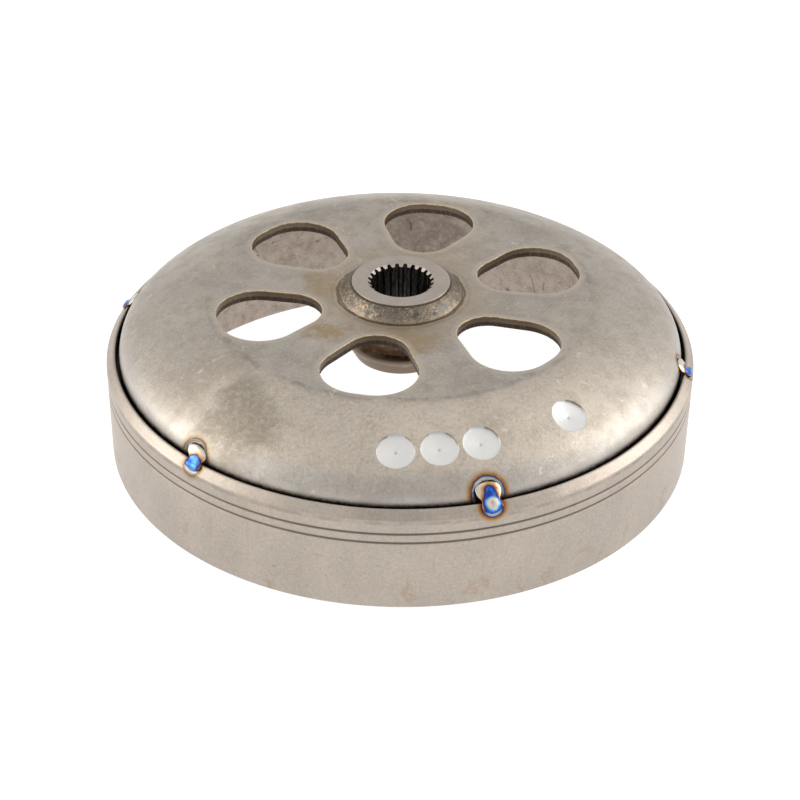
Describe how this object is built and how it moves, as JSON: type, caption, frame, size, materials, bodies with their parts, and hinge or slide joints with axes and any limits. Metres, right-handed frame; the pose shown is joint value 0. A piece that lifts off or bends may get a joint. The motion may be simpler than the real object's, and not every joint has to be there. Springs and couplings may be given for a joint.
{
  "type": "clutch drum",
  "caption": "Open steel clutch drum with a domed windowed plate, splined hub, welded outer band and balance spots.",
  "frame": {"origin": "centre of the skirt's open edge, on the drum's axis", "axes": "+Z along the drum's axis, out of the closed end; +Y to the side opposite the group of three balance spots"},
  "size_m": [0.167, 0.167, 0.0519],
  "materials": {
    "band_steel": "turned bare steel, slightly matt",
    "cup_steel": "drawn and tumbled bare steel, warm grey with heat stains",
    "hub_steel": "machined bare steel",
    "braze": "oxidised golden-brown braze",
    "weld_metal": "smooth fused steel with blue and straw temper colours"
  },
  "bodies": {
    "root": {"drum_band": "band_steel", "bell_cup": "cup_steel", "splined_hub": "hub_steel", "hub_braze_top": "braze", "hub_braze_bottom": "braze", "rim_weld_1": "weld_metal", "rim_weld_2": "weld_metal", "rim_weld_3": "weld_metal", "rim_weld_4": "weld_metal", "rim_weld_5": "weld_metal", "rim_weld_6": "weld_metal"}
  },
  "joints": []
}
